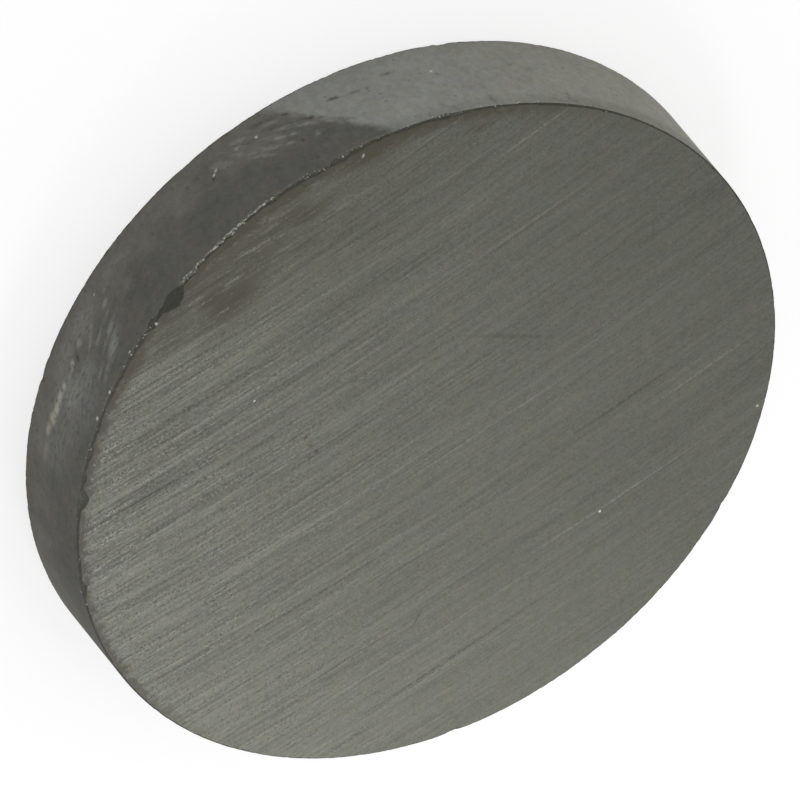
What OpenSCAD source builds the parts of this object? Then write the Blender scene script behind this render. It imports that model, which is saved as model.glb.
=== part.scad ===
// Disc magnet: one pressed and sintered ferrite disc, axially magnetised.
// Both faces are ground flat and the rim is left as it came from the press,
// so the sharp brittle arris between them is chipped and bruised by handling.
// Origin: centre of the lower ground face. +Z is the magnetic axis.
// Bearings are in degrees about +Z, from +X towards +Y.

/* [Disc] */
// Diameter across the pressed rim
disc_d = 20; // [12:0.5:40]
// Thickness between the two ground faces
disc_h = 3; // [2:0.25:10]
// Width of the break that handling leaves along both arrises
arris_break = 0.05; // [0.02:0.01:0.2]

/* [Big chip] */
// Bearing of the middle of the big chip
chip_bearing = -73.4; // [-180:0.2:180]
// Length of the big chip along the arris
chip_length = 1.0; // [0.5:0.05:1.6]
// How far the big chip reaches in over the face
chip_inset = 0.42; // [0.2:0.02:0.48]
// How far the big chip runs down the rim
chip_drop = 0.14; // [0.08:0.02:0.4]

/* [Bruised stretch] */
// Bearing at which the bruised stretch of the top arris starts
bruise_from = -66; // [-180:1:180]
// Angle that the bruised stretch covers
bruise_sweep = 44; // [10:1:90]
// Number of shallow flakes that overlap along it
bruise_flakes = 10; // [4:1:14]
// Longest flake of the bruised stretch
bruise_length = 1.05; // [0.5:0.05:1.4]
// Deepest reach of its flakes over the face
bruise_inset = 0.17; // [0.08:0.01:0.24]
// Deepest reach of its flakes down the rim
bruise_drop = 0.11; // [0.06:0.01:0.24]

/* [Hidden] */

disc_r = disc_d / 2;
ferrite_grey = [0.40, 0.40, 0.37];

// The drawn scars are smooth, so each sphere has many sides
$fn = 96;

// Separate small chips: bearing, length along the arris, inset on the face, drop down the rim
TOP_CHIPS = [
    [-37.5, 0.85, 0.30, 0.12],   // the bite in the middle of the bruised stretch
    [-68.7, 0.50, 0.20, 0.13],   // runs into the foot of the big chip
    [-102.5, 1.40, 0.21, 0.14],  // wide shallow spall
    [-112.0, 0.80, 0.10, 0.08],
    [-123.2, 0.65, 0.15, 0.10],
    [-151.0, 0.45, 0.08, 0.07],
    [171.0, 0.60, 0.10, 0.08],
    [118.0, 0.50, 0.12, 0.09],
    [64.0, 0.70, 0.13, 0.10],
    [9.0, 0.45, 0.09, 0.08],
];
BOTTOM_CHIPS = [
    [-48.0, 0.40, 0.12, 0.10],   // the nick on the lower arris
    [-131.0, 0.55, 0.14, 0.09],
    [92.0, 0.80, 0.18, 0.12],
    [28.0, 0.50, 0.11, 0.08],
];

// Section of the pressed disc, turned about the magnetic axis
module disc_blank() {
    rotate_extrude()
        polygon([
            [0, 0],
            [disc_r - arris_break, 0],
            [disc_r, arris_break],
            [disc_r, disc_h - arris_break],
            [disc_r - arris_break, disc_h],
            [0, disc_h],
        ]);
}

// Ball that cuts one scar out of the top arris. Its surface passes through the ends of the
// scar on the arris, the point that lies inset in from it, and the point that lies drop below.
module flake_scar(bearing, length, inset, drop) {
    half = length / 2;
    out = (half * half - inset * inset) / (2 * inset);
    up = (half * half - drop * drop) / (2 * drop);
    rotate([0, 0, bearing])
        translate([disc_r + out, 0, disc_h + up])
            sphere(r = norm([half, out, up]));
}

// Turns the disc over, so that what cuts the top arris cuts the bottom one
module on_lower_face() {
    translate([0, 0, disc_h])
        mirror([0, 0, 1])
            children();
}

// Shallow overlapping flakes, each a little unlike the last
module bruised_stretch() {
    pitch = bruise_sweep / (bruise_flakes - 1);
    for (k = [0 : bruise_flakes - 1]) {
        // Two slow waves out of step, each from 0 to 1
        wave = (1 + sin(137.5 * k)) / 2;
        swell = (1 + cos(80 * k)) / 2;
        flake_scar(
            bearing = bruise_from + pitch * (k + 0.3 * wave),
            length = bruise_length * (0.75 + 0.25 * wave),
            inset = bruise_inset * (0.55 + 0.45 * swell),
            drop = bruise_drop * (0.6 + 0.4 * wave)
        );
    }
}

module ferrite_disc() {
    color(ferrite_grey)
        difference() {
            disc_blank();
            flake_scar(chip_bearing, chip_length, chip_inset, chip_drop);
            bruised_stretch();
            for (chip = TOP_CHIPS)
                flake_scar(chip[0], chip[1], chip[2], chip[3]);
            on_lower_face()
                for (chip = BOTTOM_CHIPS)
                    flake_scar(chip[0], chip[1], chip[2], chip[3]);
        }
}

ferrite_disc();
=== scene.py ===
"""Disc magnet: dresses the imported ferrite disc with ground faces, a pressed rim and chipped arrises."""

import math

import bpy
import numpy as np
from mathutils import Matrix, Vector
from mathutils.bvhtree import BVHTree
from mathutils.geometry import delaunay_2d_cdt


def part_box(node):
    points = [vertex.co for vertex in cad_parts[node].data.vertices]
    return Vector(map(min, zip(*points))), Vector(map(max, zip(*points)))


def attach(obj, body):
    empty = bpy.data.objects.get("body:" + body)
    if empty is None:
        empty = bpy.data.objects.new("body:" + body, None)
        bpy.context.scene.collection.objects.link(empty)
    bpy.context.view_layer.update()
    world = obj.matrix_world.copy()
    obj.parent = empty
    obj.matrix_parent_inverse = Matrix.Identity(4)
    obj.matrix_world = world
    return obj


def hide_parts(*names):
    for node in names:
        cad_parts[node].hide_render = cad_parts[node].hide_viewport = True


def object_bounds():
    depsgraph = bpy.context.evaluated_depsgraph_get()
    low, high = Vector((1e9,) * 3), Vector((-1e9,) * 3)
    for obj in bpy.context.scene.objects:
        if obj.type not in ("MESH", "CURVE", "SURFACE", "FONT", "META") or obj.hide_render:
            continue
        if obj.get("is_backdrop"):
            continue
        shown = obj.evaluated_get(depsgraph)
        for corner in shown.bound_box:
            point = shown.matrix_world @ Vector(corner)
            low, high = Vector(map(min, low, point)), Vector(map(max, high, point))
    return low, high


bl_info = {
    "name": "Disc magnet",
    "version": (1, 0, 0),
    "blender": (4, 5, 0),
    "location": "View3D > Sidebar > Magnet",
    "description": "A sintered ferrite disc with ground faces, a pressed rim and a chipped arris",
    "category": "Object",
}

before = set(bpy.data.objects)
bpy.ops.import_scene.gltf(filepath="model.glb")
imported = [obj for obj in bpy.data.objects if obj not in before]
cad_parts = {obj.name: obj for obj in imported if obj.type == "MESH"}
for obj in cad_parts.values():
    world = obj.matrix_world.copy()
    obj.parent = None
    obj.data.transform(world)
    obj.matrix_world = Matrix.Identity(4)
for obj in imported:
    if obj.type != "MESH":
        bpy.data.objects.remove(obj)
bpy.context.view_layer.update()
NODE = "ferrite_disc"
MM = 0.001
LOWER_LAY = math.radians(64)  # turn of the lower face's grinding lines from the upper face's

disc_low, disc_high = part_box(NODE)
DISC_RADIUS = (disc_high.x - disc_low.x) / 2
DISC_HEIGHT = disc_high.z - disc_low.z


def linear(hex_colour):
    """An sRGB hex colour as linear red, green, blue."""
    channels = [int(hex_colour[i : i + 2], 16) / 255 for i in (1, 3, 5)]
    return [c / 12.92 if c <= 0.04045 else ((c + 0.055) / 1.055) ** 2.4 for c in channels]


# ---- Settings ----


def number_property(name, description, default, **kind):
    """A property that holds a number of the given kind."""
    return bpy.props.FloatProperty(name=name, description=description, default=default, **kind)


def length_property(name, description, metres):
    """A property that holds a length."""
    return number_property(name, description, metres, subtype="DISTANCE", unit="LENGTH", precision=6)


def angle_property(name, description, degrees):
    """A property that holds an angle, written in degrees."""
    return number_property(name, description, math.radians(degrees), subtype="ANGLE", unit="ROTATION")


def colour_property(name, description, hex_colour):
    """A property that holds a linear colour, written in sRGB."""
    kind = {"subtype": "COLOR", "size": 3, "min": 0, "max": 1}
    colour = linear(hex_colour)
    return bpy.props.FloatVectorProperty(name=name, description=description, default=colour, **kind)


class DiscSizes(bpy.types.PropertyGroup):
    """Sizes of the disc and of its mesh"""

    radius: length_property("Radius", "Radius of the pressed rim", DISC_RADIUS)
    height: length_property("Thickness", "Distance between the ground faces", DISC_HEIGHT)
    arris_break: length_property("Arris break", "Width of the break along the lower arris", 0.035 * MM)
    chip_band: length_property("Chip band", "Width beside each arris that is meshed finely", 0.6 * MM)
    fine_pitch: length_property("Fine pitch", "Column spacing along the chipped stretch", 0.026 * MM)
    plain_pitch: length_property("Plain pitch", "Column spacing elsewhere along the arris", 0.075 * MM)
    worked_from: angle_property("Chipped from", "Bearing where the finely meshed stretch starts", -131)
    worked_to: angle_property("Chipped to", "Bearing where the finely meshed stretch ends", -14)
    small_chips: bpy.props.IntProperty(
        name="Small chips", description="Crumbs broken out of the chipped stretch", default=90, min=0
    )


class GrindingLay(bpy.types.PropertyGroup):
    """How the wheel ground the faces"""

    wheel_radius: length_property("Wheel radius", "Radius of the arcs that the wheel left", 127 * MM)
    bearing: angle_property("Lay", "Bearing of the grinding lines at the middle of the upper face", -9)
    row_pitch: length_property("Row pitch", "Distance between mesh rows across the lines", 0.042 * MM)
    row_step: length_property("Row step", "Distance between mesh points along the lines", 0.55 * MM)
    relief: length_property("Relief", "Deepest trough below the face", 0.008 * MM)


class FerriteColours(bpy.types.PropertyGroup):
    """Colours of the three finishes"""

    ground: colour_property("Ground ferrite", "Face left by the grinding wheel", "#5C5E51")
    olive: colour_property("Tinted ferrite", "Face with a trace of brown in it", "#5F5E53")
    cool: colour_property("Cool ferrite", "Face where the bare ferrite shows blue-grey", "#5C5E56")
    pale: colour_property("Burnished line", "Crest of a grinding line", "#929289")
    dark: colour_property("Dark line", "Trough of a deep grinding line", "#393933")
    stain: colour_property("Oil stain", "Olive stain that crept in from the chipped arris", "#37331F")
    rust: colour_property("Rust", "Iron smear and rust dots", "#453029")
    skin: colour_property("Pressed skin", "Dark skin of the rim as it left the kiln", "#5B5C58")
    brown: colour_property("Brown skin", "Pressed skin with a trace of rust in it", "#5F5C56")
    # Painted light: the skin is made paler toward the lower arris, where light from below falls on the
    # rim.
    worn: colour_property("Worn skin", "Paler skin beside the lower arris", "#706E67")
    rubbed: colour_property("Rubbed skin", "Pale stretch of the rim, rubbed by handling", "#8A8C88")
    warm: colour_property("Thumbed skin", "Warmer end of the pale stretch", "#8B8A80")
    dust: colour_property("Dry dust", "Cream dust rubbed into the rim", "#B2AF9B")
    fracture: colour_property("Fracture", "Broken ferrite, dulled by handling", "#52524B")
    dirt: colour_property("Dirt", "Olive dirt packed into the broken arris", "#47453A")
    # Painted glint: the colour given to a crystal where it catches the light.
    glint: colour_property("Crystal", "Hexaferrite crystal that catches the light", "#D8D8D0")


class StudioSettings(bpy.types.PropertyGroup):
    """Camera, floor and light"""

    lens: number_property(
        "Lens", "Focal length, long so that the disc shows no perspective", 1400, subtype="DISTANCE_CAMERA"
    )
    sensor: number_property("Sensor", "Sensor width", 36, subtype="DISTANCE_CAMERA")
    frame_width: length_property("Frame width", "Width of the view at the disc", 20.476 * MM)
    elevation: angle_property("Elevation", "Height of the camera above the horizon", 45.16)
    roll: angle_property("Roll", "Turn of the camera about its line of sight", 140.45)
    aim_right: length_property("Aim right", "Aim of the camera right of the disc's middle", -0.038 * MM)
    aim_up: length_property("Aim up", "Aim of the camera above the disc's middle", 0.038 * MM)
    floor: colour_property("Floor", "Plain pale floor", "#F4F4F2")
    ambient: number_property("Ambient", "Strength of the light from all round", 0.72, min=0)
    key_power: number_property("Key power", "Power of the small lamp behind the disc", 0.008, unit="POWER")
    fill_power: number_property("Fill power", "Power of the large lamp overhead", 0.25, unit="POWER")


# ---- Mesh of the disc ----

# Distances from the arris, in millimetres, of the mesh rings that cross the chip bands. They lie
# closer together near the arris, where the chips are.
FINE_FACE = (
    0.60, 0.53, 0.465, 0.41, 0.36, 0.315, 0.275, 0.24,
    0.205, 0.172, 0.142, 0.115, 0.09, 0.066, 0.044, 0.02,
)
FINE_RIM = (0.02, 0.045, 0.07, 0.098, 0.13, 0.165, 0.21, 0.27, 0.36, 0.47, 0.60)
PLAIN_FACE = (0.60, 0.46, 0.34, 0.24, 0.165, 0.105, 0.06, 0.02)
PLAIN_RIM = (0.02, 0.06, 0.11, 0.18, 0.30, 0.60)
RIM_ROWS = 5  # rings between the two chip bands

RIM_SWELLS = 24  # swells of the pressed rim in one turn
SWELL_DEPTH = 0.006 * MM  # for its three lobes, and again for its swells
BROKEN_DEPTH = 0.004 * MM  # below this, the mesh shows broken ferrite
HACKLE_HEIGHT = 0.01 * MM  # roughness of a broken face
SCAR_WANDER = 0.014 * MM  # how far a scar's outline strays from the solid's
FACET_SAG = 0.016 * MM  # how far the solid's flat facets may lie inside its round rim

# Ridges of the grinding relief: length and width in millimetres, and share of the relief.
RELIEF_RIDGES = ((5, 0.09, 0.20), (9, 0.24, 0.30), (14, 0.9, 0.50))

NOISE_SPAN = 256  # squares after which the mesh noise repeats
CRUMB_SEED = 20
SWELL_SEED = 5
UPPER_BREAK_SEED, UPPER_RELIEF_SEED = 31, 3
LOWER_BREAK_SEED, LOWER_RELIEF_SEED = 57, 8

# Places of the finishes among the mesh's materials.
GROUND, PRESSED, BROKEN, GROUND_BELOW = 0, 1, 2, 3

# Break worn along the upper arris: bearing in degrees, then the width it takes from the face and
# from the rim, in millimetres. It is widest along the chipped stretch.
WORN_BREAK = (
    (-186, 0.05, 0.03),
    (-150, 0.05, 0.03),
    (-132, 0.06, 0.035),
    (-124, 0.08, 0.04),
    (-118, 0.07, 0.035),
    (-110, 0.12, 0.045),
    (-106, 0.16, 0.05),
    (-98, 0.12, 0.05),
    (-92, 0.07, 0.05),
    (-84, 0.06, 0.05),
    (-77, 0.07, 0.055),
    (-70, 0.09, 0.05),
    (-60, 0.08, 0.045),
    (-46, 0.065, 0.045),
    (-38, 0.08, 0.045),
    (-28, 0.06, 0.045),
    (-16, 0.05, 0.035),
    (0, 0.045, 0.03),
    (120, 0.045, 0.03),
    (174, 0.05, 0.03),
)


def cell_noise(u, v, seed):
    """Smooth seeded noise from -1 to 1 with one random value for each unit square."""
    table = np.random.default_rng(seed).uniform(-1, 1, (NOISE_SPAN, NOISE_SPAN))
    column, row = np.floor(u).astype(int), np.floor(v).astype(int)
    across, up = u - column, v - row
    across, up = across * across * (3 - 2 * across), up * up * (3 - 2 * up)
    left, right = column % NOISE_SPAN, (column + 1) % NOISE_SPAN
    low, high = row % NOISE_SPAN, (row + 1) % NOISE_SPAN
    near = table[left, low] * (1 - across) + table[right, low] * across
    far = table[left, high] * (1 - across) + table[right, high] * across
    return near * (1 - up) + far * up


def lay_centre(lay, turn):
    """Bearing of the grinding lines, and the middle of the wheel's arcs in metres."""
    angle = lay.bearing + turn
    return angle, Vector((math.sin(angle), -math.cos(angle))) * lay.wheel_radius


def lay_coordinates(x, y, lay, turn):
    """Place along and across the wheel's arcs of points on a face, in metres."""
    angle, centre = lay_centre(lay, turn)
    along = x * math.cos(angle) + y * math.sin(angle)
    across = np.hypot(x - centre.x, y - centre.y) - lay.wheel_radius
    return along, across


def face_relief(x, y, lay, turn, seed):
    """Depth of the grinding relief below the face's plane, in metres, never above it."""
    along, across = (c / MM for c in lay_coordinates(x, y, lay, turn))
    # Adding 60 and 120 keeps the noise's own corner away from the middle of the face.
    lines = sum(
        share * cell_noise(along / length + 60, across / width + 120, seed + k)
        for k, (length, width, share) in enumerate(RELIEF_RIDGES)
    )
    return lay.relief * (0.5 + 0.5 * lines)


def column_bearings(sizes):
    """Bearings of the mesh columns round the disc, close together along the chipped stretch."""
    worked = sizes.worked_to - sizes.worked_from
    fine = round(worked * sizes.radius / sizes.fine_pitch)
    plain = round((2 * math.pi - worked) * sizes.radius / sizes.plain_pitch)
    first = np.linspace(sizes.worked_from, sizes.worked_to, fine, endpoint=False)
    rest = np.linspace(sizes.worked_to, sizes.worked_from + 2 * math.pi, plain, endpoint=False)
    return np.concatenate((first, rest))


def ring_slopes(face_steps, rim_steps, band):
    """Slopes of the rays that reach the rings on the face and then those on the rim."""
    face = [math.atan2(band, band - step * MM) for step in face_steps]
    rim = [math.atan2(band - step * MM, band) for step in rim_steps]
    return np.array(face + rim)


class ChipBand:
    """The corner between a face and the rim, met by rays from a core ring inside it."""

    def __init__(self, sizes, upper, seed):
        self.sizes = sizes
        self.upper = upper
        self.seed = seed
        self.band = sizes.chip_band
        self.bearings = column_bearings(sizes)
        steps = (FINE_FACE, FINE_RIM) if upper else (PLAIN_FACE, PLAIN_RIM)
        self.face_rings = len(steps[0])
        slopes = ring_slopes(*steps, self.band)
        self.bearing, self.slope = np.meshgrid(self.bearings, slopes)
        self.arc = self.bearing * sizes.radius / MM

    def noise(self, cell, bands, offset):
        """Seeded noise with cells of the given millimetres round the disc, and bands to a radian."""
        return cell_noise(self.arc / cell, self.slope * bands, self.seed + offset)

    def square_reach(self, slope):
        """Distance from the core ring to the unbroken square corner."""
        return self.band / np.maximum(np.cos(slope), np.sin(slope))

    def place(self, bearing, slope, reach):
        """Points at a reach from the core ring, as x, y and z."""
        out = self.sizes.radius - self.band + reach * np.cos(slope)
        up = reach * np.sin(slope) - self.band
        z = self.sizes.height + up if self.upper else -up
        return np.stack((out * np.cos(bearing), out * np.sin(bearing), z), axis=-1)

    def scar_depth(self, tree):
        """Depth of the solid's own scars, found by rays, with their outlines made ragged."""
        ragged = self.noise(0.16, 4, 0) + 0.6 * self.noise(0.07, 9, 1)
        bearing = self.bearing + SCAR_WANDER * ragged / self.sizes.radius
        slope = self.slope + 0.02 * self.noise(0.11, 6, 2)
        core = self.place(bearing, slope, 0 * slope)
        aim = self.place(bearing, slope, 1 + 0 * slope) - core
        depth = np.zeros(slope.shape)
        for index in np.ndindex(slope.shape):
            _, _, _, hit = tree.ray_cast(Vector(core[index]), Vector(aim[index]))
            depth[index] = self.square_reach(slope[index]) - hit
        return np.maximum(depth - FACET_SAG, 0)

    def crumb_depth(self, rng):
        """Depth of small seeded chips, each the cap of a ball that rests on the arris."""
        depth = np.zeros(self.slope.shape)
        corner = self.sizes.height if self.upper else 0
        outward = 1 if self.upper else -1
        points = self.place(self.bearing, self.slope, 0 * self.slope)
        aim = self.place(self.bearing, self.slope, 1 + 0 * self.slope) - points
        for k in range(self.sizes.small_chips):
            # Most crumbs are on the chipped stretch, and few and fine elsewhere.
            chipped = self.upper and k % 4 > 0
            span = (self.sizes.worked_from, self.sizes.worked_to) if chipped else (-math.pi, math.pi)
            bearing = rng.uniform(*span)
            longest = 0.14 if chipped else 0.09
            half = rng.uniform(0.05, longest) * MM
            inset = half * rng.uniform(0.25, 0.6)
            drop = half * rng.uniform(0.25, 0.6)
            out = (half * half - inset * inset) / (2 * inset)
            up = (half * half - drop * drop) / (2 * drop)
            ball_radius = math.hypot(half, out, up)
            ball = np.array(
                (
                    (self.sizes.radius + out) * math.cos(bearing),
                    (self.sizes.radius + out) * math.sin(bearing),
                    corner + outward * up,
                )
            )
            turn = (self.bearings - bearing + math.pi) % (2 * math.pi) - math.pi
            near = np.abs(turn) * self.sizes.radius < half * 1.2
            start = points[:, near] - ball
            towards = (start * aim[:, near]).sum(axis=-1)
            inside = towards**2 - (start**2).sum(axis=-1) + ball_radius**2
            reach = -towards - np.sqrt(np.maximum(inside, 0))
            cut = np.where(inside > 0, self.square_reach(self.slope[:, near]) - reach, 0)
            depth[:, near] = np.maximum(depth[:, near], cut)
        return depth

    def break_widths(self):
        """Widths that the worn break takes from the face and the rim, in metres."""
        ragged = 1 + 0.35 * self.noise(0.35, 0, 5)
        ragged += 0.14 * self.noise(0.09, 0, 6)
        if not self.upper:
            return self.sizes.arris_break * ragged, self.sizes.arris_break * ragged
        degrees = np.degrees(self.bearing)
        marks = np.array(WORN_BREAK)
        face = np.interp(degrees, marks[:, 0], marks[:, 1], period=360)
        rim = np.interp(degrees, marks[:, 0], marks[:, 2], period=360)
        return face * ragged * MM, rim * ragged * MM

    def surface(self, tree, rng):
        """Points of the band, and how deep each lies below the unbroken corner."""
        depth = np.maximum(self.scar_depth(tree), self.crumb_depth(rng))
        face_width, rim_width = self.break_widths()
        corner_reach = (self.band / face_width + self.band / rim_width - 1) / (
            np.cos(self.slope) / face_width + np.sin(self.slope) / rim_width
        )
        square = self.square_reach(self.slope)
        depth = np.maximum(depth, square - corner_reach)
        # Small breaks are rough, and the large flakes left smooth hollows.
        hackle = self.noise(0.06, 9, 3) + 0.7 * self.noise(0.13, 5, 4)
        broken = np.clip(depth / (0.03 * MM), 0, 1)
        hollow = np.clip((depth / MM - 0.05) / 0.05, 0, 1)
        depth += HACKLE_HEIGHT * hackle * (broken * (1 - 0.75 * hollow))
        depth = np.maximum(depth, 0)
        return self.place(self.bearing, self.slope, square - depth), depth


def rim_wave(bearing, z):
    """How far the pressed rim falls inside its true circle, in metres."""
    lobes = 0.5 - 0.5 * np.cos(3 * bearing + 0.6)
    turns = bearing / (2 * math.pi)
    column = NOISE_SPAN * ((turns * RIM_SWELLS / NOISE_SPAN) % 1)
    swells = 0.5 + 0.5 * cell_noise(column, z / MM * 0.6 + 9, SWELL_SEED)
    return SWELL_DEPTH * (lobes + swells)


def band_faces(first, second, count):
    """Quads between two rings of count points each that start at the two given indices."""
    here = np.arange(count)
    after = (here + 1) % count
    return np.stack((first + here, second + here, second + after, first + after), axis=-1)


def face_fill(ring, lay, turn):
    """Points and triangles that fill a ring on a face, in rows along the grinding lines."""
    reach = np.hypot(ring[:, 0], ring[:, 1]).max()
    rows = np.arange(-reach, reach, lay.row_pitch)
    steps = np.arange(-reach, reach, lay.row_step)
    angle, centre = lay_centre(lay, turn)
    along, across = np.meshgrid(steps, rows)
    along, across = along.ravel(), across.ravel()
    sweep = np.arcsin(along / (lay.wheel_radius + across))
    out = (lay.wheel_radius + across) * np.cos(sweep)
    x = centre.x + along * math.cos(angle) - out * math.sin(angle)
    y = centre.y + along * math.sin(angle) + out * math.cos(angle)
    margin = 0.7 * lay.row_pitch
    keep = np.hypot(x, y) < reach - margin
    points = np.stack((x[keep], y[keep]), axis=-1)
    everything = np.concatenate((ring[:, :2], points))
    along, across = lay_coordinates(everything[:, 0], everything[:, 1], lay, turn)
    flat = [Vector(p) for p in zip(along / lay.row_step, across / lay.row_pitch)]
    inside_only, closeness = 1, 1e-7
    result = delaunay_2d_cdt(flat, [], [list(range(len(ring)))], inside_only, closeness)
    source = [ids[0] for ids in result[3]]
    triangles = np.array([[source[i] for i in triangle] for triangle in result[2]])
    return points, triangles


class DiscMesh:
    """Gathers points and polygons of the disc and writes them into one mesh."""

    def __init__(self):
        self.points = []
        self.count = 0
        self.polygons = []
        self.slots = []

    def add_points(self, points):
        """Adds points and gives the number of the first one."""
        start = self.count
        self.points.append(points)
        self.count += len(points)
        return start

    def add_polygons(self, polygons, slots):
        """Adds polygons, each with the place of its finish."""
        self.polygons.extend(polygons.tolist())
        self.slots.extend(np.broadcast_to(slots, len(polygons)).tolist())

    def write(self, name):
        """The finished mesh, smooth but for its broken parts."""
        mesh = bpy.data.meshes.new(name)
        mesh.from_pydata(np.concatenate(self.points).tolist(), [], self.polygons)
        mesh.update()
        mesh.polygons.foreach_set("material_index", self.slots)
        mesh.polygons.foreach_set("use_smooth", np.array(self.slots) != BROKEN)
        mark_arrises(mesh)
        return mesh


def mark_arrises(mesh):
    """Makes every edge sharp where one finish meets another."""
    slots = np.zeros(len(mesh.polygons), int)
    mesh.polygons.foreach_get("material_index", slots)
    loop_edges = np.zeros(len(mesh.loops), int)
    mesh.loops.foreach_get("edge_index", loop_edges)
    loop_totals = np.zeros(len(mesh.polygons), int)
    mesh.polygons.foreach_get("loop_total", loop_totals)
    loop_slots = np.repeat(slots, loop_totals)
    lowest = np.full(len(mesh.edges), GROUND_BELOW)
    highest = np.full(len(mesh.edges), GROUND)
    np.minimum.at(lowest, loop_edges, loop_slots)
    np.maximum.at(highest, loop_edges, loop_slots)
    sharp = mesh.attributes.new("sharp_edge", "BOOLEAN", "EDGE")
    sharp.data.foreach_set("value", lowest != highest)


def build_disc(sizes, lay):
    """The whole disc as one closed mesh, with scars taken from the solid."""
    depsgraph = bpy.context.evaluated_depsgraph_get()
    tree = BVHTree.FromObject(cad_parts[NODE], depsgraph)
    rng = np.random.default_rng(CRUMB_SEED)
    disc = DiscMesh()
    upper = ChipBand(sizes, True, UPPER_BREAK_SEED)
    lower = ChipBand(sizes, False, LOWER_BREAK_SEED)
    columns = len(upper.bearings)
    sides = ((upper, 0, UPPER_RELIEF_SEED), (lower, LOWER_LAY, LOWER_RELIEF_SEED))
    rings = []
    depths = []
    zones = []
    for band, turn, seed in sides:
        points, depth = band.surface(tree, rng)
        face = np.arange(len(points)) < band.face_rings
        relief = face_relief(points[face][..., 0], points[face][..., 1], lay, turn, seed)
        plane = sizes.height - relief if band.upper else relief
        pick = np.minimum if band.upper else np.maximum
        points[face, :, 2] = pick(points[face, :, 2], plane)
        radius = np.hypot(points[..., 0], points[..., 1])
        wave = sizes.radius - rim_wave(band.bearing, points[..., 2])
        shrink = np.minimum(1, wave / radius)
        points[..., :2] *= shrink[..., None]
        order = slice(None) if band.upper else slice(None, None, -1)
        rings.append(points[order])
        depths.append(depth[order])
        ground = GROUND if band.upper else GROUND_BELOW
        zones.append(np.where(face, ground, PRESSED)[order])
    levels = np.linspace(sizes.height - sizes.chip_band, sizes.chip_band, RIM_ROWS + 2)[1:-1]
    bearing, z = np.meshgrid(upper.bearings, levels)
    radius = sizes.radius - rim_wave(bearing, z)
    wall = np.stack((radius * np.cos(bearing), radius * np.sin(bearing), z), axis=-1)
    all_rings = np.concatenate((rings[0], wall, rings[1]))
    all_depths = np.concatenate((depths[0], np.zeros(wall.shape[:2]), depths[1]))
    all_zones = np.concatenate((zones[0], np.full(len(wall), PRESSED), zones[1]))
    start = disc.add_points(all_rings.reshape(-1, 3))
    for k in range(len(all_rings) - 1):
        quads = band_faces(start + k * columns, start + (k + 1) * columns, columns)
        corner_depth = all_depths.reshape(-1)[quads - start].mean(axis=1)
        zone = all_zones[k] if all_zones[k] == all_zones[k + 1] else PRESSED
        disc.add_polygons(quads, np.where(corner_depth > BROKEN_DEPTH, BROKEN, zone))
    for band, turn, seed in sides:
        ring_index = 0 if band.upper else len(all_rings) - 1
        inner, triangles = face_fill(all_rings[ring_index], lay, turn)
        relief = face_relief(inner[:, 0], inner[:, 1], lay, turn, seed)
        z = sizes.height - relief if band.upper else relief
        first = disc.add_points(np.column_stack((inner, z)))
        base = start + ring_index * columns
        indices = np.where(triangles < columns, triangles + base, triangles - columns + first)
        if band.upper:
            disc.add_polygons(indices, GROUND)
        else:
            disc.add_polygons(indices[:, ::-1], GROUND_BELOW)
    return disc.write("ground_ferrite_disc")


# ---- Finishes ----

# Patterns are sized in millimetres, from the real thing. The crystals of ferrite are a few
# thousandths of a millimetre across, too fine to show, so they are drawn as coarse as they need
# to be. The same goes for the wheel's finest lines.
GROUND_CRYSTAL = 0.05
PRESSED_CRYSTAL = 0.06
GRIT = 0.06  # broken grains, on a fracture and along the arris
FLECK = 0.08
PORE = 0.085
BUMP_HEIGHT = 0.004
FERRITE_IOR = 1.45  # low for a ferrite, because a film of dirt dulls it
FURROW_WIDTH = 0.08
BORDER_SLOPE = 0.829  # how far the pale stretch's border runs round the rim for each step down it


def add(tree, kind, links=None, **settings):
    """Adds one node. links gives its inputs in order or by name, each a value, a node or an output."""
    node = tree.nodes.new("ShaderNode" + kind)
    for name, value in settings.items():
        setattr(node, name, value)
    for key, value in enumerate(links) if isinstance(links, list) else (links or {}).items():
        if isinstance(key, int):
            socket = node.inputs[key]
        else:
            socket = next(entry for entry in node.inputs if entry.name == key and entry.enabled)
        if isinstance(value, bpy.types.Node):
            value = next(entry for entry in value.outputs if entry.enabled)
        if isinstance(value, bpy.types.NodeSocket):
            tree.links.new(value, socket)
        else:
            socket.default_value = value
    return node


def new_material(name):
    """An empty material, and its node tree."""
    material = bpy.data.materials.new(name)
    material.use_nodes = True
    material.node_tree.nodes.clear()
    return material, material.node_tree


def millimetres(tree):
    """Place on the disc in millimetres."""
    coordinates = add(tree, "TexCoord").outputs["Object"]
    return add(tree, "VectorMath", {0: coordinates, "Scale": 1 / MM}, operation="SCALE")


def placed(tree, place, cell, seed):
    """Place in a pattern whose cells are cell millimetres in size. seed gives each its own corner."""
    size = cell if isinstance(cell, tuple) else (cell, cell, cell)
    corner = (seed * 7.3, seed * 3.1, seed * 5.7)
    frame_of_cell = {"Vector": place, "Location": corner, "Scale": size}
    return add(tree, "Mapping", frame_of_cell, vector_type="TEXTURE")


def mottle(tree, place, cell, seed, detail=1.0):
    """Smooth noise from 0 to 1. cell is a blotch's size in millimetres, even or along each axis."""
    shifted = placed(tree, place, cell, seed)
    return add(tree, "TexNoise", {"Vector": shifted, "Scale": 1.0, "Detail": detail})


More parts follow.
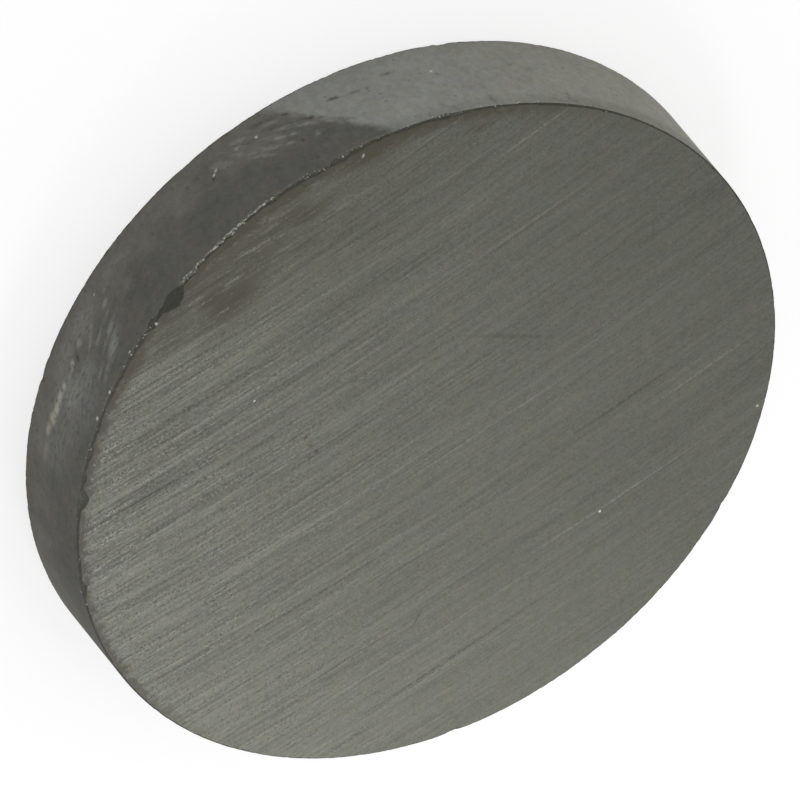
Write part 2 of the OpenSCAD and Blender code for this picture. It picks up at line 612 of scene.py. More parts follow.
def fibres(tree, plane, length, width, seed):
    """Straight lines of random tone, from 0 to 1, each of the given length and width in millimetres."""
    parts = add(tree, "SeparateXYZ", [plane]).outputs
    rows = add(tree, "Math", [parts[1], 1 / width, seed * 41.0], operation="MULTIPLY_ADD")
    row = add(tree, "Math", [rows], operation="FLOOR")
    shift = add(tree, "TexWhiteNoise", {"W": row}, noise_dimensions="1D")
    pieces = add(tree, "Math", [parts[0], 1 / length, shift], operation="MULTIPLY_ADD")
    piece = add(tree, "Math", [pieces], operation="FLOOR")
    cell = add(tree, "CombineXYZ", [row, piece])
    return add(tree, "TexWhiteNoise", {"Vector": cell}, noise_dimensions="2D")


def mosaic(tree, place, cell, seed):
    """Crystal grains of random tone, from 0 to 1, cell millimetres across."""
    cells = add(tree, "TexVoronoi", {"Vector": placed(tree, place, cell, seed), "Scale": 1.0})
    return add(tree, "SeparateColor", [cells.outputs["Color"]]).outputs[1]


def grains(tree, place, cell, seed, share):
    """Small dots, from 0 to 1. share says how many of the cells hold a dot."""
    cells = add(tree, "TexVoronoi", {"Vector": placed(tree, place, cell, seed), "Scale": 1.0})
    dot = step(tree, cells.outputs["Distance"], 0.42, 0.2)
    chance = add(tree, "SeparateColor", [cells.outputs["Color"]])
    chosen = step(tree, chance.outputs[0], 1 - share, 1 - share * 0.6)
    return product(tree, dot, chosen)


def step(tree, value, start, stop):
    """Smooth step from 0 at start to 1 at stop."""
    limits = {"Value": value, "From Min": start, "From Max": stop}
    return add(tree, "MapRange", limits, interpolation_type="SMOOTHSTEP")


def stretch(tree, value, start, full, fading, stop):
    """1 from full to fading, and down to 0 at start and at stop."""
    return product(tree, step(tree, value, start, full), step(tree, value, stop, fading))


def weigh(tree, start, *parts):
    """start, plus each value times its weight."""
    for value, weight in parts:
        start = add(tree, "Math", [value, weight, start], operation="MULTIPLY_ADD")
    return start


def total(tree, parts, start=0.0):
    """Weighted sum of noises, each taken about its middle of one half, on top of start."""
    middle = sum(weight for _, weight in parts) / 2
    return weigh(tree, add(tree, "Math", [start, middle], operation="SUBTRACT"), *parts)


def product(tree, *values):
    """Product of values and noises."""
    result = values[0]
    for value in values[1:]:
        result = add(tree, "Math", [result, value], operation="MULTIPLY")
    return result


def blend(tree, under, over, *amounts):
    """Colour of one finish over another. The amounts are multiplied, and 1 covers it fully."""
    amount = product(tree, *amounts)
    under, over = (c if isinstance(c, bpy.types.Node) else (*c, 1) for c in (under, over))
    return add(tree, "Mix", {"Factor": amount, "A": under, "B": over}, data_type="RGBA")


def shade(tree, colour, tone):
    """Colour made lighter or darker by a share of itself."""
    factor = add(tree, "Math", [tone, 1.0], operation="ADD")
    return add(tree, "VectorMath", {0: colour, "Scale": factor}, operation="SCALE")


def marks(tree, plane, places):
    """Soft marks, from 0 to 1. Each is x, y, half length, half width, turn in degrees and strength."""
    result = 0.0
    for x, y, half_length, half_width, turn, strength in places:
        outline = {
            "Vector": plane,
            "Location": (x, y, 0),
            "Rotation": (0, 0, math.radians(turn)),
            "Scale": (half_length, half_width, 1),
        }
        near = add(tree, "Mapping", outline, vector_type="TEXTURE")
        inside = add(tree, "TexGradient", {"Vector": near}, gradient_type="SPHERICAL").outputs["Fac"]
        mark = add(tree, "MapRange", {"Value": inside, "From Max": 0.75, "To Max": strength})
        result = add(tree, "Math", [result, mark], operation="MAXIMUM")
    return result


def surface(tree, colour, roughness, gloss, height):
    """Dull mineral surface, with its finest roughness as bumps from the given height."""
    bump = add(tree, "Bump", {"Height": height, "Distance": BUMP_HEIGHT * MM, "Strength": 1.0})
    settings = {
        "Base Color": colour,
        "Roughness": roughness,
        "IOR": FERRITE_IOR,
        "Specular IOR Level": gloss,
        "Normal": bump,
    }
    add(tree, "OutputMaterial", {"Surface": add(tree, "BsdfPrincipled", settings)})


# Soft grinding lines: cell sizes in millimetres, along and across them, with their share of the
# tone. Crisp lines, as wide as the wheel's grit, are listed the same way.
SOFT_LINES = (
    (2.4, 0.095, 0.42),
    (5, 0.19, 0.42),
    (9, 0.5, 0.28),
    (13, 1.4, 0.16),
)
CRISP_LINES = (
    (1.2, 0.055, 0.2),
    (3, 0.09, 0.18),
)

# Long scratches on the upper face, in millimetres along and across the lay: middle, place across,
# half length, half width, turn in degrees and strength.
PALE_SCRATCHES = (
    (-3.4, 5.72, 3.6, 0.05, -1, 0.75),
    (-7, 3.7, 2.6, 0.07, -0.6, 0.55),
    (4.2, -0.36, 4.9, 0.045, 0, 0.8),
    (-4.5, -4.2, 4.6, 0.05, 0.4, 0.4),
    (-5.9, -6.76, 1.6, 0.05, 0.5, 0.8),
    (1, -3.5, 4.2, 0.05, 0.4, 0.5),
    (3.5, 0.52, 5, 0.05, 0, 0.6),
    (3, 6.2, 5, 0.06, 0, 0.6),
    (6.4, -6.95, 2.2, 0.06, 2, 0.9),
    (8.3, -1.45, 1.1, 0.06, 0.5, 1),
    (8.7, -2.85, 0.7, 0.06, 0.8, 1),
    (7.4, -2.04, 1, 0.05, 0, 0.9),
    (3.8, -1.77, 0.4, 0.05, 0, 1),
    (6, -1.77, 0.35, 0.05, 0, 1),
    (9, -1.76, 0.8, 0.05, 0, 1),
    (2.5, 7.42, 4, 0.06, 1.2, 0.6),
    (-1, 1.02, 4, 0.06, -0.3, 0.5),
    (4.5, -4.62, 3.8, 0.05, 0.6, 0.7),
    (5.4, -7.12, 1.5, 0.06, 0, 0.9),
    (5.6, -6.6, 1.2, 0.06, 0, 0.8),
    (1.1, -8.3, 0.8, 0.09, 3, 1),
    (-0.6, -8.42, 1.4, 0.07, 0, 0.7),
    (0.9, -8.72, 0.8, 0.09, -8, 1),
    (1.6, -8.85, 0.7, 0.08, -4, 0.7),
    (0.95, -9.4, 0.6, 0.1, -12, 1),
    (2.3, -8.28, 0.8, 0.07, 0, 0.7),
    (2.2, -8.98, 0.8, 0.07, 0, 0.6),
)
DARK_SCRATCHES = (
    (5, -5.3, 2.9, 0.1, 0.3, 1),
    (-1.8, -5.4, 4.8, 0.07, -0.4, 0.5),
    (2.2, 7.26, 4.2, 0.06, 1.3, 0.9),
    (-5, 2.98, 2.6, 0.07, -0.9, 0.8),
    (5, 2.76, 4.6, 0.06, -0.6, 0.9),
    (4.4, 1.93, 4.6, 0.06, -0.2, 0.7),
    (-4.3, -4.12, 4.4, 0.05, 0.4, 0.6),
    (6, -4.74, 1.7, 0.07, 0.2, 0.9),
    (7.4, -2.15, 1.1, 0.07, 0, 1),
    (4.35, -1.87, 0.6, 0.07, 0, 1),
    (5.83, -2.37, 0.13, 0.07, 0, 1),
    (3.2, -2.42, 2.3, 0.06, 0.4, 0.7),
    (6.9, -3.72, 1.3, 0.07, 0, 0.9),
    (5.2, 5.32, 3.6, 0.06, -0.2, 0.6),
    (5.5, 7.85, 1.2, 0.07, 1, 0.7),
)

# Marks on the upper face across the lay, in millimetres: x, y, half length, half width, turn in
# degrees and strength.
CROSS_SCRATCHES = (
    (-3.2, -0.8, 2, 0.1, 130, 0.75),
    (-1.2, -5.5, 1.4, 0.06, 175, 0.5),
    (3.2, 4.9, 0.35, 0.05, 30, 0.9),
    (0.6, -6.2, 0.9, 0.05, -35, 0.5),
    (2.6, -6, 1, 0.05, -38, 0.5),
)
STAINS = (
    (1, -8.6, 6, 3.6, 4, 0.32),
    (0.5, -7.2, 5, 2.8, 0, 0.24),
    (4.2, -8.4, 1.6, 0.6, 14, 0.8),
    (2.4, -8.7, 4.4, 1.8, 8, 0.74),
    (2.95, -7.75, 1.9, 1, 12, 0.95),
    (3.35, -8.15, 1.1, 0.55, 5, 0.95),
    (4.7, -7.75, 1.7, 0.85, 15, 0.7),
    (2, -8.05, 0.75, 0.28, 0, 0.75),
    (0.6, -8.05, 0.9, 0.24, 0, 0.65),
    (0.2, -8.8, 1.3, 0.4, 0, 0.9),
    (0.6, -9.15, 1.3, 0.38, 0, 0.85),
    (-2, -9.4, 2.2, 0.46, -6, 1),
    (-1.2, -8.75, 1.6, 0.4, -4, 0.35),
    (-4.8, -7.98, 0.4, 0.08, 0, 0.8),
    (-4.45, -8.13, 0.45, 0.08, 0, 0.8),
    (-3.4, -9, 1, 0.26, -18, 0.6),
    (0.3, -9.7, 1.7, 0.32, 2, 0.85),
    (2, -9.5, 1.3, 0.25, 9, 0.95),
    (3.1, -8.95, 1.9, 0.65, 15, 0.65),
    (2.2, -8.55, 1.7, 0.5, 0, 0.45),
    (5.9, -7.55, 1.1, 0.42, 35, 0.8),
)
RUST_DOTS = (
    (2.48, -2.67, 0.1, 0.07, 20, 0.9),
    (2.51, -2.35, 0.08, 0.06, 0, 0.8),
    (2.49, -2.06, 0.1, 0.08, 60, 1),
    (2.4, -1.09, 0.08, 0.06, 0, 0.6),
    (3.22, 4.92, 0.3, 0.05, 30, 0.2),
    (-6, -7.35, 0.5, 0.12, -6, 0.25),
    (2.4, -7.4, 0.08, 0.06, 0, 0.7),
)
# The next two tables are painted glints: bright specks where a crystal catches the light.
CHIP_GLINTS = (
    (3.54, -9.18, 0.06, 0.05, 0, 1),
    (3.11, -9.15, 0.05, 0.04, 0, 0.8),
    (3.22, -9.05, 0.04, 0.04, 0, 0.6),
)
FACE_GLINTS = (
    (-2.13, 6.16, 0.05, 0.05, 0, 1),
    (-3.21, -9.13, 0.09, 0.05, 40, 0.9),
    (2.88, -4.86, 0.05, 0.04, 0, 0.8),
    (-6.98, 6.85, 0.05, 0.05, 0, 0.7),
)


def lay_plane(tree, place, lay, turn):
    """Place on the flat face, and the same in millimetres along and across the wheel's arcs."""
    angle = lay.bearing + turn
    radius = lay.wheel_radius / MM
    flat = add(tree, "VectorMath", [place, (1, 1, 0)], operation="MULTIPLY")
    centre = (radius * math.sin(angle), -radius * math.cos(angle), 0)
    reach = add(tree, "VectorMath", [flat, centre], operation="DISTANCE")
    across = add(tree, "Math", [reach, radius], operation="SUBTRACT")
    forward = (math.cos(angle), math.sin(angle), 0)
    along = add(tree, "VectorMath", [flat, forward], operation="DOT_PRODUCT")
    return flat, add(tree, "CombineXYZ", [along, across])


def ground_ferrite(name, lay, colours, sizes, upper):
    """Ground ferrite: a dull grey face that the wheel's grit streaked with pale and dark lines."""
    material, tree = new_material(name)
    place = millimetres(tree)
    flat, plane = lay_plane(tree, place, lay, 0 if upper else LOWER_LAY)
    seed = 1 if upper else 6
    spread = add(tree, "SeparateXYZ", [plane]).outputs
    soft = [
        (mottle(tree, plane, (length, width, 1), seed + k), share)
        for k, (length, width, share) in enumerate(SOFT_LINES)
    ]
    crisp = [
        (fibres(tree, plane, length, width, seed + k), share)
        for k, (length, width, share) in enumerate(CRISP_LINES)
    ]
    # Painted sheen: the lines and the grain stand out more toward +X and -Y, the side where light glances
    # off the face.
    toward_light = add(tree, "VectorMath", [plane, (1, -0.45, 0)], operation="DOT_PRODUCT")
    ramp = add(tree, "MapRange", {"Value": toward_light, "From Min": -7, "From Max": 11})
    sheen = product(tree, ramp, ramp)
    gain = weigh(tree, 0.46, (sheen, 1.8))
    lines = total(tree, soft + crisp)
    streaks = product(tree, lines, gain)
    grain = mosaic(tree, place, GROUND_CRYSTAL, 3)
    fleck = mottle(tree, place, FLECK, 17)
    bed_gain = weigh(tree, 0.48, (sheen, 0.9))
    bed = product(tree, total(tree, [(grain, 0.42), (fleck, 0.5)]), bed_gain)
    cloud = mottle(tree, place, 2.6, 5, 2)
    patch = mottle(tree, place, 0.3, 7, 2)
    cool = mottle(tree, place, 0.5, 19)
    tone = total(tree, [(cloud, 0.12), (patch, 0.16)], add(tree, "Math", [streaks, bed]))
    # Painted light: the face is made lighter toward +X and +Y, as the light falls on it.
    far = step(tree, add(tree, "VectorMath", [plane, (0.5, 1, 0)], operation="DOT_PRODUCT"), 4, 10)
    tone = weigh(tree, tone, (spread[0], 0.028), (spread[1], 0.011), (far, 0.11))
    tinted = blend(tree, colours.ground, colours.olive, step(tree, patch, 0.35, 0.65))
    tinted = blend(tree, tinted, colours.cool, step(tree, cool, 0.3, 0.7), 0.8)
    colour = shade(tree, tinted, tone)
    broken = step(tree, mottle(tree, plane, (0.09, 0.06, 1), 9), 0.34, 0.58)
    if upper:
        colour = blend(tree, colour, colours.pale, marks(tree, plane, PALE_SCRATCHES), broken, 0.48)
        colour = blend(tree, colour, colours.dark, marks(tree, plane, DARK_SCRATCHES), broken, 0.75)
        colour = blend(tree, colour, colours.dark, marks(tree, flat, CROSS_SCRATCHES), 0.45)
    # Furrows follow the lines: a beaded bright crest with a row of pits beside each one; the crests are
    # painted highlights, and both grow with the painted sheen.
    furrow = (1.8, FURROW_WIDTH, 1)
    beads = step(tree, mottle(tree, plane, (0.06, 0.055, 1), 15), 0.46, 0.64)
    crest_highlights = step(tree, mottle(tree, plane, furrow, 21), 0.56, 0.66)
    amount = weigh(tree, 0.05, (sheen, 0.75))
    colour = blend(tree, colour, colours.pale, crest_highlights, beads, amount)
    beside = add(tree, "VectorMath", [plane, (0, FURROW_WIDTH, 0)], operation="ADD")
    furrows = step(tree, mottle(tree, beside, furrow, 21), 0.56, 0.66)
    pits = step(tree, mottle(tree, plane, (0.07, 0.06, 1), 4), 0.47, 0.63)
    pores = grains(tree, place, PORE, 8, share=0.09)
    holes = add(tree, "Math", [product(tree, furrows, pits), pores], operation="MAXIMUM")
    amount = weigh(tree, 0.2, (sheen, 0.75))
    colour = blend(tree, colour, colours.dark, holes, amount)
    reach = add(tree, "VectorMath", [flat], operation="LENGTH")
    ragged = total(tree, [(patch, 0.7)], reach)
    arris = sizes.radius / MM
    near_side = step(tree, add(tree, "SeparateXYZ", [flat]).outputs[1], -3, -9)
    # Stain and painted shade: the face darkens softly toward the arris on the -Y side, as the shade of a
    # rounded edge does.
    stain_and_edge_shade = product(tree, step(tree, ragged, arris - 0.6, arris - 0.05), near_side, 0.75)
    if upper:
        # The stain crept in along the lines from the chipped stretch of the arris.
        creep = total(tree, [(fleck, 0.7)], mottle(tree, plane, (0.9, 0.13, 1), 12, 2))
        soaked = marks(tree, plane, STAINS)
        colour = blend(tree, colour, colours.stain, soaked, step(tree, creep, 0.16, 0.48), 0.95)
        colour = blend(tree, colour, colours.rust, marks(tree, flat, RUST_DOTS), 0.85)
        # Painted glints of single crystals.
        colour = blend(tree, colour, colours.glint, marks(tree, flat, FACE_GLINTS))
    # Stain and painted shade beside the arris.
    colour = blend(tree, colour, colours.stain, stain_and_edge_shade)
    # Dirt is packed darkest beside the worn stretch of the arris.
    toward = add(tree, "VectorMath", [flat, (0.5, -1, 0)], operation="DOT_PRODUCT")
    crust = step(tree, total(tree, [(fleck, 0.45)], ragged), arris - 0.34, arris - 0.08)
    colour = blend(tree, colour, colours.stain, crust, step(tree, toward, 0, 5.5), 0.82)
    surface(tree, colour, roughness=0.42, gloss=0.35, height=lines)
    return material


# Marks on the rim in millimetres: place round the rim from the point nearest -Y, depth below the
# upper face, half length, half width, turn in degrees and strength.
RIM_DUST = (
    (-6.28, 1.93, 0.22, 0.12, 35, 0.7),
    (-6.54, 1.86, 0.22, 0.09, 25, 0.35),
    (-6.92, 1.93, 0.16, 0.14, 60, 0.75),
    (-7.25, 1.94, 0.28, 0.16, 4, 0.95),
    (-7.58, 1.93, 0.28, 0.17, 0, 1),
    (-7.9, 1.97, 0.28, 0.22, -10, 0.8),
    (-8.3, 2.06, 0.3, 0.17, -5, 0.55),
    (-8.9, 2, 0.6, 0.15, 0, 0.2),
    (-5.69, 2.04, 0.16, 0.15, 30, 0.45),
)
RIM_SCUFFS = (
    (-6.8, 0.9, 1.2, 0.9, 0, 0.4),
    (-5.3, 2.35, 1, 0.6, 0, 0.6),
    (-7.2, 1.95, 1.4, 0.42, 0, 0.6),
    (-8.2, 1.5, 1.3, 0.95, 0, 0.35),
    (-4.75, 0.95, 0.5, 0.28, 25, 0.5),
    (-6.9, 1.41, 0.9, 0.7, -5, 0.78),
    (-6.2, 1.2, 0.8, 0.7, 10, 0.57),
    (-6.2, 2.3, 0.9, 0.45, 0, 0.57),
    (-5.3, 2.55, 0.9, 0.3, 5, 0.47),
    (-7.6, 1, 0.9, 0.6, 0, 0.34),
    (-5.54, 0.55, 0.45, 0.13, 22, 0.54),
    (-5.75, 0.78, 0.35, 0.1, 28, 0.54),
    (-4.82, 1.21, 0.62, 0.13, 21, 0.88),
    (-4.95, 0.8, 0.55, 0.24, 27, 0.88),
    (-5.17, 1.45, 0.34, 0.1, 22, 0.74),
    (-5.22, 1.84, 0.36, 0.1, 30, 0.88),
    (-5.45, 1.65, 0.3, 0.08, 28, 0.68),
    (-4.77, 2.22, 0.24, 0.11, 38, 0.81),
    (-4.35, 1.94, 0.26, 0.11, 28, 0.88),
    (-4.55, 1.62, 0.28, 0.08, 26, 0.47),
    (-5.1, 2.45, 0.24, 0.11, 33, 0.81),
    (-4.1, 2.25, 0.3, 0.1, 20, 0.47),
    (-3.55, 1.62, 0.28, 0.22, 25, 0.54),
    (-3.6, 2.5, 0.6, 0.2, 8, 0.41),
    (0.18, 2.25, 0.24, 0.14, -5, 0.74),
    (0.38, 2.06, 0.26, 0.15, -30, 0.68),
    (1, 2.48, 0.32, 0.1, -16, 0.81),
    (0.88, 2.27, 0.26, 0.11, -30, 0.88),
    (0.76, 2.09, 0.26, 0.13, -38, 0.54),
    (1.55, 1.61, 0.38, 0.11, -29, 0.88),
    (1.25, 1.52, 0.52, 0.1, -37, 0.61),
    (1.1, 1.8, 0.3, 0.08, -34, 0.47),
    (1.87, 1.76, 0.32, 0.1, -24, 0.94),
    (1.92, 2.4, 0.34, 0.11, -17, 0.74),
    (1.55, 2.05, 0.34, 0.08, -26, 0.61),
    (2.14, 1.98, 0.34, 0.11, -23, 0.94),
    (2.58, 1.74, 0.56, 0.11, -32, 1),
    (2.25, 1.6, 0.22, 0.08, -20, 0.81),
    (2.02, 1.37, 0.18, 0.08, -24, 0.68),
    (2.72, 1.2, 0.14, 0.14, 0, 0.61),
    (3.15, 1.45, 0.45, 0.11, -40, 0.74),
)
RIM_SMUDGES = (
    (-3.4, 1.5, 1, 0.6, 0, 0.3),
    (3.63, 2.09, 0.28, 0.11, -9, 0.83),
    (4.11, 2, 0.34, 0.07, -1, 0.66),
    (5.23, 2.26, 0.22, 0.1, -7, 0.66),
    (2.37, 2.39, 0.22, 0.08, -34, 0.88),
    (2.85, 1.82, 0.4, 0.1, -35, 0.88),
    (1.75, 2.55, 0.55, 0.14, -16, 0.5),
    (1.35, 2.18, 0.5, 0.11, -22, 0.44),
    (1.95, 2.15, 0.55, 0.11, -22, 0.5),
    (2.35, 1.88, 0.45, 0.08, -28, 0.5),
    (3.55, 1.22, 0.35, 0.1, -31, 0.5),
    (2.32, 1.22, 0.08, 0.12, 0, 0.77),
    (7.3, 0.3, 0.12, 0.4, 6, 0.39),
    (9.7, 0.35, 0.14, 0.4, 0, 0.39),
    (-7.32, 2.86, 0.1, 0.11, 0, 1),
    (-0.08, 1.93, 0.09, 0.08, 0, 0.99),
    (-5.99, 1.89, 0.1, 0.26, -20, 0.83),
    (-4.98, 1.62, 0.4, 0.07, 28, 0.44),
    (-5.05, 1.05, 0.45, 0.07, 24, 0.39),
)
# Painted glints: bright specks where a crystal on the rim catches the light.
RIM_GLINTS = (
    (0.09, 2.12, 0.1, 0.06, 35, 0.5),
    (-0.02, 2.03, 0.07, 0.05, 35, 0.75),
    (6.34, 1.91, 0.05, 0.05, 0, 0.9),
    (1.43, 2.22, 0.06, 0.07, 0, 0.75),
    (-4.45, 2.45, 0.05, 0.04, 0, 0.5),
    (-6.74, 0.15, 0.07, 0.07, 0, 0.8),
    (-5.91, 0.1, 0.07, 0.06, 0, 0.85),
    (-4.7, 0.14, 0.06, 0.05, 0, 0.6),
    (-3.62, 0.08, 0.06, 0.06, 0, 0.7),
    (-12.2, 0.1, 0.06, 0.05, 0, 0.5),
)


def rim_plane(tree, place, sizes):
    """Millimetres round the rim from the point nearest -Y, and below the upper face, as x and y."""
    parts = add(tree, "SeparateXYZ", [place])
    left = add(tree, "Math", [parts.outputs[0], -1.0], operation="MULTIPLY")
    near = add(tree, "Math", [parts.outputs[1], -1.0], operation="MULTIPLY")
    angle = add(tree, "Math", [left, near], operation="ARCTAN2")
    round_rim = product(tree, angle, sizes.radius / MM)
    below = add(tree, "Math", [sizes.height / MM, parts.outputs[2]], operation="SUBTRACT")
    return round_rim, below, add(tree, "CombineXYZ", [round_rim, below])


def arris_glints(tree, place, round_rim, below):
    """Painted glints: bright specks, with a faint pale haze, for the crystals along the rim's side of the
    broken arris, densest beside the large chip.
    """
    dots = mottle(tree, place, GRIT, 14)
    drift = total(tree, [(mottle(tree, place, 0.2, 23), 0.14)], below)
    line = stretch(tree, drift, 0.025, 0.045, 0.07, 0.145)
    dense = stretch(tree, round_rim, -3, -2.4, 0.2, 1)
    sparse = stretch(tree, round_rim, -9, -7, 8, 12)
    limit = weigh(tree, 0.7, (dense, -0.12), (sparse, -0.07))
    bright = add(tree, "Math", [dots, limit], operation="SUBTRACT")
    # The large chip left a clean hollow with no crystals in it.
    before = step(tree, round_rim, -3.3, -3.45)
    after = step(tree, round_rim, -2.55, -2.4)
    beside = add(tree, "Math", [before, after], operation="MAXIMUM")
    faint = product(tree, sparse, 0.05)
    powder = weigh(tree, faint, (dense, 0.15))
    specks = add(tree, "Math", [step(tree, bright, -0.01, 0.11), powder], operation="MAXIMUM")
    return product(tree, line, beside, specks, 0.7)


def pressed_ferrite(name, colours, sizes):
    """Pressed and fired ferrite skin: smooth dark grey, with one stretch rubbed pale by handling."""
    material, tree = new_material(name)
    place = millimetres(tree)
    round_rim, below, plane = rim_plane(tree, place, sizes)
    cloud = mottle(tree, place, 0.9, 3, 3)
    patch = mottle(tree, place, 0.22, 6, 2)
    speckle = mosaic(tree, place, PRESSED_CRYSTAL, 4)
    tone = total(tree, [(cloud, 0.26), (patch, 0.36), (speckle, 0.12)])
    # Painted light: paler skin lower down the rim, toward the lower arris, where light from below falls on
    # it.
    worn = step(tree, total(tree, [(cloud, 1.8)], below), 0.8, 3)
    tint = mottle(tree, place, 0.3, 11)
    rusty = step(tree, total(tree, [(tint, 1), (cloud, 0.6)], 0.5), 0.4, 0.66)
    dark_skin = blend(tree, blend(tree, colours.skin, colours.brown, rusty), colours.worn, worn)
    # The pale stretch ends in a straight slanting border, left by what rubbed it.
    slant = weigh(tree, round_rim, (below, BORDER_SLOPE))
    border = total(tree, [(cloud, 0.35), (patch, 0.35)], slant)
    rubbed = product(tree, step(tree, border, 4.2, 4.65), step(tree, round_rim, 24, 21))
    shaded = stretch(tree, round_rim, -28, -20, -12, -8)
    warmth = step(tree, round_rim, 4.5, 13)
    warmth = weigh(tree, 0.25, (warmth, 0.65))
    warmth = total(tree, [(tint, 1.8)], warmth)
    pale_skin = blend(tree, colours.rubbed, colours.warm, warmth)
    tone = weigh(tree, tone, (shaded, -0.2))
    # Painted shade: the pale stretch darkens beside the upper arris, more so toward -X.
    late = step(tree, round_rim, 8, 13)
    lift = weigh(tree, below, (late, -0.35))
    dull = product(tree, step(tree, lift, 0.6, 0.03), rubbed)
    tone = weigh(tree, tone, (dull, -0.2))
    colour = shade(tree, blend(tree, dark_skin, pale_skin, rubbed), tone)
    grain = step(tree, mottle(tree, plane, (0.2, 0.12, 1), 7, 2), 0.25, 0.6)
    powder = step(tree, mottle(tree, plane, (0.12, 0.08, 1), 18), 0.26, 0.5)
    colour = blend(tree, colour, colours.dust, marks(tree, plane, RIM_DUST), powder)
    colour = blend(tree, colour, colours.rubbed, marks(tree, plane, RIM_SCUFFS), grain, 0.85)
    colour = blend(tree, colour, colours.dark, marks(tree, plane, RIM_SMUDGES), grain, 0.8)
    colour = blend(tree, colour, colours.dark, grains(tree, place, 0.16, 9, share=0.08), 0.3)
    # Painted glints of crystals on the rim and along the broken arris.
    crystals = marks(tree, plane, RIM_GLINTS)
    line = arris_glints(tree, place, round_rim, below)
    glints = add(tree, "Math", [crystals, line], operation="MAXIMUM")
    colour = blend(tree, colour, colours.glint, glints, 0.85)
    rough_skin = total(tree, [(speckle, 0.3), (patch, 0.7)])
    surface(tree, colour, roughness=0.6, gloss=0.06, height=rough_skin)
    return material


def fractured_ferrite(name, colours, sizes):
    """Broken ferrite: nearly black and grainy, with painted glints for its crystals, and olive dirt and
    painted shade packed in.
    """
    material, tree = new_material(name)
    place = millimetres(tree)
    round_rim, below, _ = rim_plane(tree, place, sizes)
    grit = mottle(tree, place, GRIT, 2)
    cloud = mottle(tree, place, 0.4, 5)
    colour = shade(tree, colours.fracture, total(tree, [(grit, 0.4), (cloud, 0.3)]))
    colour = blend(tree, colour, colours.dirt, step(tree, cloud, 0.42, 0.6), 0.6)
    # Dirt and painted shade: darkest along the edge of the face, and all over the hollow of the large
    # chip.
    edge = total(tree, [(cloud, 0.06), (grit, 0.09)], below)
    shown = step(tree, round_rim, -4.8, -3.6)
    shown = weigh(tree, 0.5, (shown, 0.45))
    corner = product(tree, step(tree, edge, 0.08, 0.015), shown)
    hollow = stretch(tree, round_rim, -4, -3.75, -2.45, -2.25)
    dirt_and_shade = add(tree, "Math", [corner, hollow], operation="MAXIMUM")
    colour = blend(tree, colour, colours.dark, dirt_and_shade, 0.88)
    # Painted glints: a few bright grains, and the crystals beside the large chip.
    sparks = product(tree, grains(tree, place, 0.1, 3, share=0.05), 0.5)
    flat = add(tree, "VectorMath", [place, (1, 1, 0)], operation="MULTIPLY")
    crystals = marks(tree, flat, CHIP_GLINTS)
    sparks = add(tree, "Math", [sparks, crystals], operation="MAXIMUM")
    line = arris_glints(tree, place, round_rim, below)
    glints = add(tree, "Math", [sparks, line], operation="MAXIMUM")
    colour = blend(tree, colour, colours.glint, glints, 0.8)
    surface(tree, colour, roughness=0.6, gloss=0.15, height=grit)
    return material


# ---- Operators ----


class MAGNET_OT_add_ferrite_disc(bpy.types.Operator):
    """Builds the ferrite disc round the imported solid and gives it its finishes"""

    bl_idname = "magnet.add_ferrite_disc"
    bl_label = "Add ferrite disc"

    def execute(self, context):
        scene = context.scene
        sizes, lay, colours = scene.magnet_sizes, scene.magnet_lay, scene.magnet_colours
        mesh = build_disc(sizes, lay)
        mesh.materials.append(ground_ferrite("ground_ferrite_upper_face", lay, colours, sizes, True))
        mesh.materials.append(pressed_ferrite("pressed_ferrite_rim", colours, sizes))
        mesh.materials.append(fractured_ferrite("fractured_ferrite", colours, sizes))
        mesh.materials.append(ground_ferrite("ground_ferrite_lower_face", lay, colours, sizes, False))
        disc = bpy.data.objects.new("ground_ferrite_disc", mesh)
        scene.collection.objects.link(disc)
        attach(disc, "root")
        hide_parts(NODE)
        return {"FINISHED"}


class MAGNET_OT_add_stage(bpy.types.Operator):
    """Adds the pale floor, the soft lamps and the camera"""

    bl_idname = "magnet.add_stage"
    bl_label = "Add stage"

    def execute(self, context):
        scene = context.scene
        studio = scene.magnet_studio
        add_floor(scene, studio)
        add_lamps(scene, studio)
        add_camera(scene, studio)
        return {"FINISHED"}


# The stage, in metres: half the floor's side, then each lamp's name, side and place.
FLOOR_HALF = 0.6
LAMPS = (
    ("key_lamp", 0.014, (0.02, 0.042, 0.045)),
    ("fill_lamp", 0.3, (-0.1, 0.1, 0.4)),
)
FLOOR_GLOW = 0.72  # what the camera sees of the floor by itself, so that it shows nearly white
SHADOW_SHARE = 0.3  # how much of the light on the floor, and so of the shadow, the camera sees


def add_floor(scene, studio):
    """Matt white floor. It lights the disc as a pale floor does, and looks nearly white itself."""
    mesh = bpy.data.meshes.new("floor")
    corners = [(x * FLOOR_HALF, y * FLOOR_HALF, 0) for x, y in ((-1, -1), (1, -1), (1, 1), (-1, 1))]
    mesh.from_pydata(corners, [], [(0, 1, 2, 3)])
    floor = bpy.data.objects.new("floor", mesh)
    scene.collection.objects.link(floor)
    floor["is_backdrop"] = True
    material, tree = new_material("pale_floor")
    seen = seen_directly(tree)
    plain = add(tree, "BsdfDiffuse", {"Color": (*studio.floor, 1)})
    shadow = add(tree, "BsdfDiffuse", {"Color": (SHADOW_SHARE, SHADOW_SHARE, SHADOW_SHARE, 1)})
    glow = add(tree, "Emission", {"Strength": FLOOR_GLOW})
    white = add(tree, "AddShader", [shadow, glow])
    shown = add(tree, "MixShader", [seen, plain, white])
    add(tree, "OutputMaterial", {"Surface": shown})
    mesh.materials.append(material)


def seen_directly(tree):
    """1 for rays from the camera, or from it by way of a reflection or glass, otherwise 0."""
    path = add(tree, "LightPath").outputs
    seen = path["Is Camera Ray"]
    for kind in ("Is Glossy Ray", "Is Transmission Ray"):
        seen = add(tree, "Math", [seen, path[kind]], operation="MAXIMUM")
    return seen


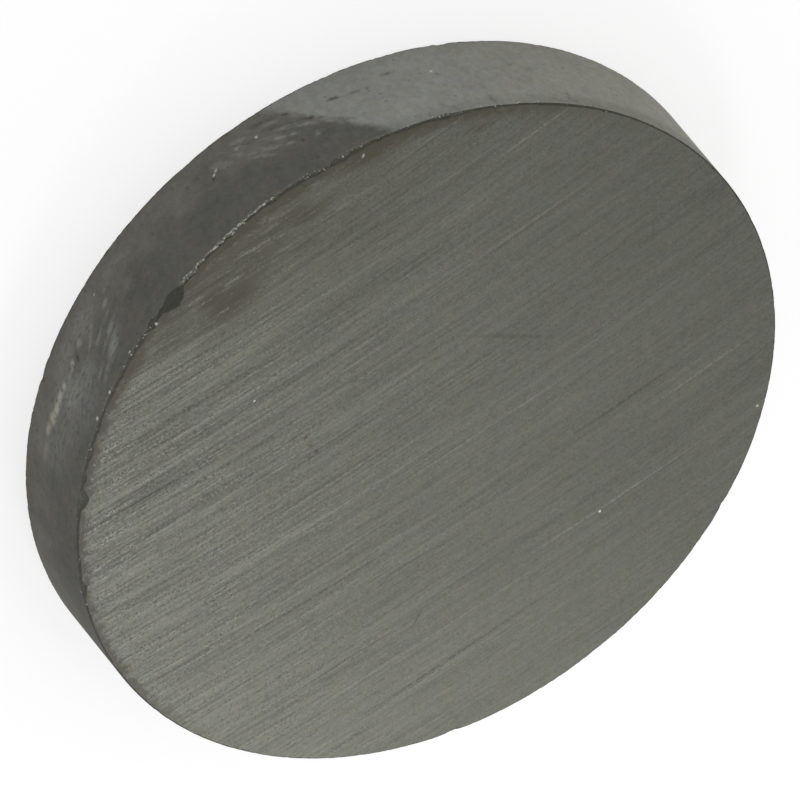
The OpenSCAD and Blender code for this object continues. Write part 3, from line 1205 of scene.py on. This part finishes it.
def add_lamps(scene, studio):
    """Even light from all round, and two square lamps that face the disc."""
    world = bpy.data.worlds.new("studio_light")
    scene.world = world
    world.use_nodes = True
    tree = world.node_tree
    tree.nodes.clear()
    levels = {"Factor": seen_directly(tree), "A": studio.ambient, "B": 1.0}
    strength = add(tree, "Mix", levels, data_type="FLOAT")
    light = add(tree, "Background", {"Color": (1, 1, 1, 1), "Strength": strength})
    add(tree, "OutputWorld", {"Surface": light})
    for (name, side, place), power in zip(LAMPS, (studio.key_power, studio.fill_power)):
        lamp = bpy.data.lights.new(name, "AREA")
        lamp.shape = "SQUARE"
        lamp.size = side
        lamp.energy = power
        holder = bpy.data.objects.new(name, lamp)
        holder.location = place
        aim = Vector((0, 0, DISC_HEIGHT)) - Vector(place)
        holder.rotation_euler = aim.to_track_quat("-Z", "Y").to_euler()
        scene.collection.objects.link(holder)


def add_camera(scene, studio):
    """Camera far off with a long lens, above the horizon and turned about its line of sight."""
    lens = bpy.data.cameras.new("camera")
    lens.lens = studio.lens
    lens.sensor_width = studio.sensor
    camera = bpy.data.objects.new("camera", lens)
    low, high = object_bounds()
    middle = (low + high) / 2
    distance = studio.frame_width * studio.lens / studio.sensor
    back = Vector((0, -math.cos(studio.elevation), math.sin(studio.elevation)))
    upright = (-back).to_track_quat("-Z", "Y").to_matrix().to_4x4()
    rolled = upright @ Matrix.Rotation(studio.roll, 4, "Z")
    aim = middle + rolled.to_3x3() @ Vector((studio.aim_right, studio.aim_up, 0))
    camera.matrix_world = Matrix.Translation(aim + back * distance) @ rolled
    lens.clip_start = distance * 0.5
    lens.clip_end = distance * 3
    scene.collection.objects.link(camera)
    scene.camera = camera


class MAGNET_PT_panel(bpy.types.Panel):
    """Lists the operators in the sidebar"""

    bl_idname = "MAGNET_PT_panel"
    bl_label = "Disc magnet"
    bl_space_type = "VIEW_3D"
    bl_region_type = "UI"
    bl_category = "Magnet"

    def draw(self, context):
        for operator in OPERATORS:
            self.layout.operator(operator.bl_idname)


GROUPS = {
    "magnet_sizes": DiscSizes,
    "magnet_lay": GrindingLay,
    "magnet_colours": FerriteColours,
    "magnet_studio": StudioSettings,
}
OPERATORS = (MAGNET_OT_add_ferrite_disc, MAGNET_OT_add_stage)
CLASSES = (*GROUPS.values(), *OPERATORS, MAGNET_PT_panel)


def register():
    """Adds the classes and their settings."""
    for cls in CLASSES:
        bpy.utils.register_class(cls)
    for name, group in GROUPS.items():
        setattr(bpy.types.Scene, name, bpy.props.PointerProperty(type=group))


def unregister():
    """Takes the settings and the classes away again."""
    for name in GROUPS:
        delattr(bpy.types.Scene, name)
    for cls in reversed(CLASSES):
        bpy.utils.unregister_class(cls)


def main():
    """Builds the disc and its stage."""
    register()
    bpy.context.scene.view_settings.view_transform = "Standard"
    bpy.ops.magnet.add_ferrite_disc()
    bpy.ops.magnet.add_stage()


if __name__ == "__main__":
    main()
